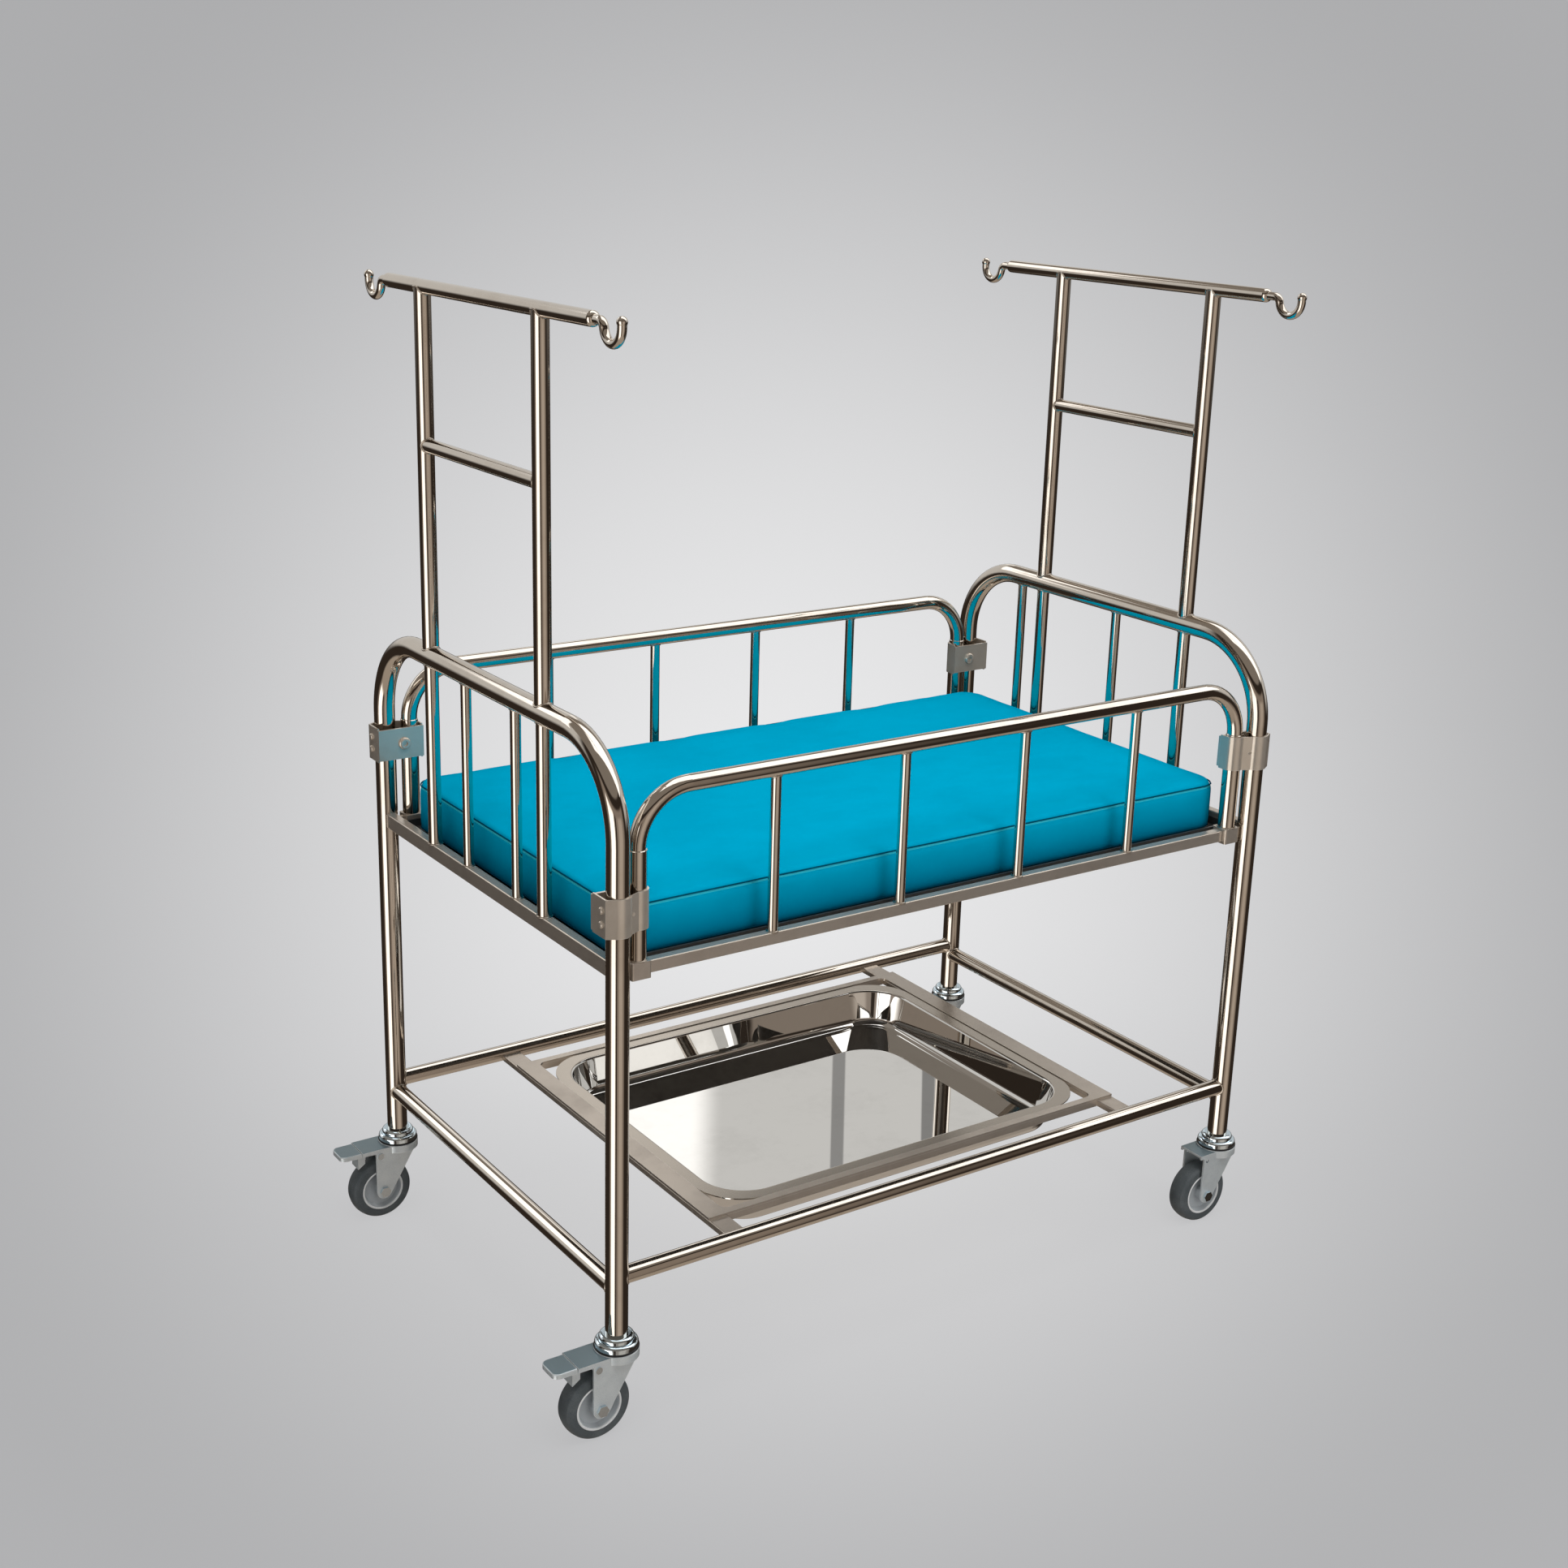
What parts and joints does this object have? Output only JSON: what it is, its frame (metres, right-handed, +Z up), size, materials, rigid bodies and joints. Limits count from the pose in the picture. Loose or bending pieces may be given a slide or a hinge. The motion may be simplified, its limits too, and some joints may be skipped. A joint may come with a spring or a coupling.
{
  "type": "hospital bassinet",
  "caption": "Tubular steel hospital cot on swivel casters with side guards, an infusion stand at each end, a blue mattress and a lift-out tray on a low shelf.",
  "frame": {"origin": "on the floor, below the centre of the overall box", "axes": "+X along the length towards the end without brakes, +Y across towards the rear guard, +Z up"},
  "size_m": [1.009, 0.612, 1.187],
  "materials": {
    "polished_steel": "polished stainless tube with a warm tint",
    "satin_steel": "satin stainless bar and sheet",
    "clamp_steel": "bright pressed stainless strip",
    "tray_steel": "mirror polished stainless sheet",
    "zinc": "bright zinc-plated pressed steel",
    "grey_tyre": "matt grey rubber",
    "wheel_plastic": "moulded light grey plastic",
    "cyan_vinyl": "smooth cyan-blue vinyl over foam"
  },
  "bodies": {
    "frame": {"bearing_caps": "zinc", "bed_end_bar_left": "satin_steel", "bed_end_bar_right": "satin_steel", "caster_stems": "zinc", "clamp_bolts": "clamp_steel", "clamp_plates": "clamp_steel", "clamp_screws": "clamp_steel", "clamp_strips_front": "clamp_steel", "clamp_strips_rear": "clamp_steel", "deck_panel": "satin_steel", "end_frame_tube_left": "polished_steel", "end_frame_tube_right": "polished_steel", "end_spindles_left": "polished_steel", "end_spindles_right": "polished_steel", "guard_bottom_bar_front": "satin_steel", "guard_bottom_bar_rear": "satin_steel", "guard_end_blocks": "satin_steel", "guard_rail_front": "polished_steel", "guard_rail_rear": "polished_steel", "guard_sleeves": "polished_steel", "guard_spindles_front": "polished_steel", "guard_spindles_rear": "polished_steel", "stand_hooks_left": "polished_steel", "stand_hooks_right": "polished_steel", "stand_mid_bar_left": "polished_steel", "stand_mid_bar_right": "polished_steel", "stand_top_bar_left": "polished_steel", "stand_top_bar_right": "polished_steel", "stand_uprights_left": "polished_steel", "stand_uprights_right": "polished_steel", "stretcher_front": "polished_steel", "stretcher_left": "polished_steel", "stretcher_rear": "polished_steel", "stretcher_right": "polished_steel", "tray_cross_bars": "satin_steel", "tray_holder_rails": "satin_steel", "tray_holder_sheet": "satin_steel", "tray_ledge": "satin_steel"},
    "fork_front_left": {"wheel_fork_front_left": "zinc", "wheel_axle_front_left": "zinc", "brake_pin_front_left": "zinc"},
    "wheel_front_left": {"wheel_tyre_front_left": "grey_tyre", "wheel_centre_front_left": "wheel_plastic"},
    "pedal_front_left": {"brake_pedal_front_left": "zinc"},
    "fork_rear_left": {"wheel_fork_rear_left": "zinc", "wheel_axle_rear_left": "zinc", "brake_pin_rear_left": "zinc"},
    "wheel_rear_left": {"wheel_tyre_rear_left": "grey_tyre", "wheel_centre_rear_left": "wheel_plastic"},
    "pedal_rear_left": {"brake_pedal_rear_left": "zinc"},
    "fork_front_right": {"wheel_fork_front_right": "zinc", "wheel_axle_front_right": "zinc"},
    "wheel_front_right": {"wheel_tyre_front_right": "grey_tyre", "wheel_centre_front_right": "wheel_plastic"},
    "fork_rear_right": {"wheel_fork_rear_right": "zinc", "wheel_axle_rear_right": "zinc"},
    "wheel_rear_right": {"wheel_tyre_rear_right": "grey_tyre", "wheel_centre_rear_right": "wheel_plastic"},
    "mattress": {"mattress": "cyan_vinyl"},
    "tray": {"tray": "tray_steel"}
  },
  "joints": [
    {"name": "swivel_front_left", "type": "hinge", "parent": "frame", "child": "fork_front_left", "pos_m": [-0.4205, -0.281, 0.1], "axis": [0, 0, 1], "continuous": true},
    {"name": "roll_front_left", "type": "hinge", "parent": "fork_front_left", "child": "wheel_front_left", "pos_m": [-0.4485, -0.281, 0.04], "axis": [0, 1, 0], "continuous": true},
    {"name": "brake_front_left", "type": "hinge", "parent": "fork_front_left", "child": "pedal_front_left", "pos_m": [-0.4525, -0.281, 0.0905], "axis": [0, -1, 0], "range_deg": [0, 11]},
    {"name": "swivel_rear_left", "type": "hinge", "parent": "frame", "child": "fork_rear_left", "pos_m": [-0.4205, 0.281, 0.1], "axis": [0, 0, 1], "continuous": true},
    {"name": "roll_rear_left", "type": "hinge", "parent": "fork_rear_left", "child": "wheel_rear_left", "pos_m": [-0.4485, 0.281, 0.04], "axis": [0, 1, 0], "continuous": true},
    {"name": "brake_rear_left", "type": "hinge", "parent": "fork_rear_left", "child": "pedal_rear_left", "pos_m": [-0.4525, 0.281, 0.0905], "axis": [0, -1, 0], "range_deg": [0, 11]},
    {"name": "swivel_front_right", "type": "hinge", "parent": "frame", "child": "fork_front_right", "pos_m": [0.4795, -0.281, 0.1], "axis": [0, 0, 1], "continuous": true},
    {"name": "roll_front_right", "type": "hinge", "parent": "fork_front_right", "child": "wheel_front_right", "pos_m": [0.4515, -0.281, 0.04], "axis": [0, 1, 0], "continuous": true},
    {"name": "swivel_rear_right", "type": "hinge", "parent": "frame", "child": "fork_rear_right", "pos_m": [0.4795, 0.281, 0.1], "axis": [0, 0, 1], "continuous": true},
    {"name": "roll_rear_right", "type": "hinge", "parent": "fork_rear_right", "child": "wheel_rear_right", "pos_m": [0.4515, 0.281, 0.04], "axis": [0, 1, 0], "continuous": true},
    {"name": "mattress_lift", "type": "slide", "parent": "frame", "child": "mattress", "axis": [0, 0, 1], "range_m": [0, 0.16]},
    {"name": "tray_lift", "type": "slide", "parent": "frame", "child": "tray", "axis": [0, 0, 1], "range_m": [0, 0.12]}
  ]
}
